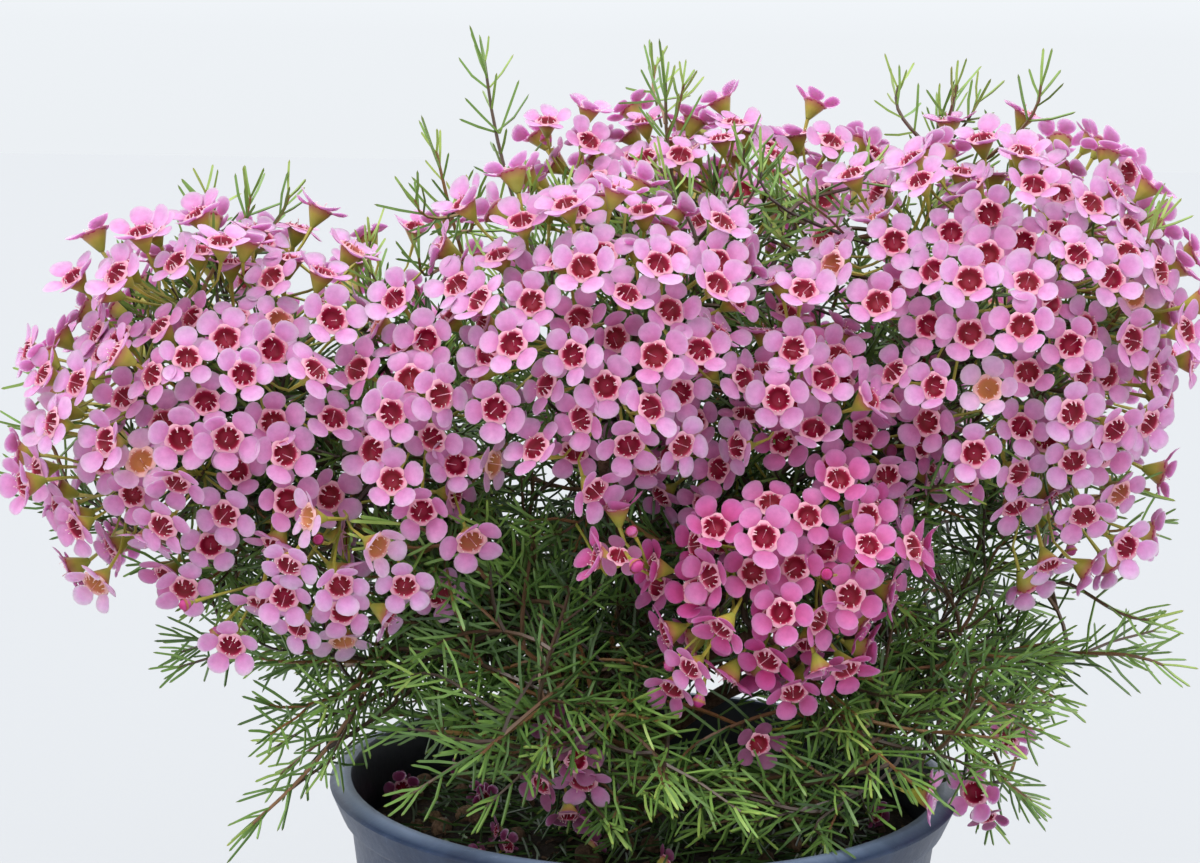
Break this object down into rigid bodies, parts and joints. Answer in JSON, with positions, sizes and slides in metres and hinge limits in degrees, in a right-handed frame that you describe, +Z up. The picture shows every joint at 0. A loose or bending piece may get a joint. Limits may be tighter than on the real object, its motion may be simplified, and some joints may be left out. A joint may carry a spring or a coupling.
{
  "type": "potted waxflower",
  "caption": "Waxflower shrub in bloom: a woody stem, leafy sprigs and sprays of pink five-petalled blooms, in soil in a dark plastic nursery pot.",
  "frame": {"origin": "centre of the pot's underside, on the surface that it stands on", "axes": "+Z up along the pot's axis; the plant's front, as pictured, looks along -Y; +X to the viewer's right"},
  "size_m": [0.3827, 0.2551, 0.4332],
  "materials": {
    "pot_plastic": "satin",
    "potting_soil": "matte",
    "bark": "matte",
    "petals": "matte",
    "leaves": "satin"
  },
  "bodies": {
    "root": {"pot": "pot_plastic", "soil": "potting_soil", "spray_centre_1": "petals", "spray_centre_2": "petals", "spray_centre_3": "petals", "spray_centre_4": "petals", "spray_centre_5": "petals", "spray_left_1": "petals", "spray_left_2": "petals", "spray_left_3": "petals", "spray_left_4": "petals", "spray_left_5": "petals", "spray_left_6": "petals", "spray_left_7": "petals", "spray_left_8": "petals", "spray_left_back_1": "petals", "spray_left_back_2": "petals", "spray_left_back_3": "petals", "spray_left_middle_1": "petals", "spray_low_1": "petals", "spray_low_2": "petals", "spray_low_3": "petals", "spray_low_4": "petals", "spray_right_1": "petals", "spray_right_2": "petals", "spray_right_3": "petals", "spray_right_4": "petals", "spray_right_5": "petals", "spray_right_6": "petals", "spray_right_7": "petals", "spray_right_8": "petals", "spray_right_back_1": "petals", "spray_right_back_2": "petals", "spray_right_back_3": "petals", "spray_right_middle_1": "petals", "spray_top_1": "petals", "spray_top_2": "petals", "spray_top_3": "petals", "spray_top_4": "petals", "spray_top_5": "petals", "sprig_back": "leaves", "sprig_back_left": "leaves", "sprig_back_right": "leaves", "sprig_front": "leaves", "sprig_front_left": "leaves", "sprig_front_middle": "leaves", "sprig_front_right": "leaves", "sprig_left": "leaves", "sprig_left_low": "leaves", "sprig_right_low": "leaves", "sprig_right_lower": "leaves", "sprig_top_far_left": "leaves", "sprig_top_left": "leaves", "sprig_top_middle": "leaves", "sprig_top_right": "leaves", "wood": "bark"}
  },
  "joints": []
}
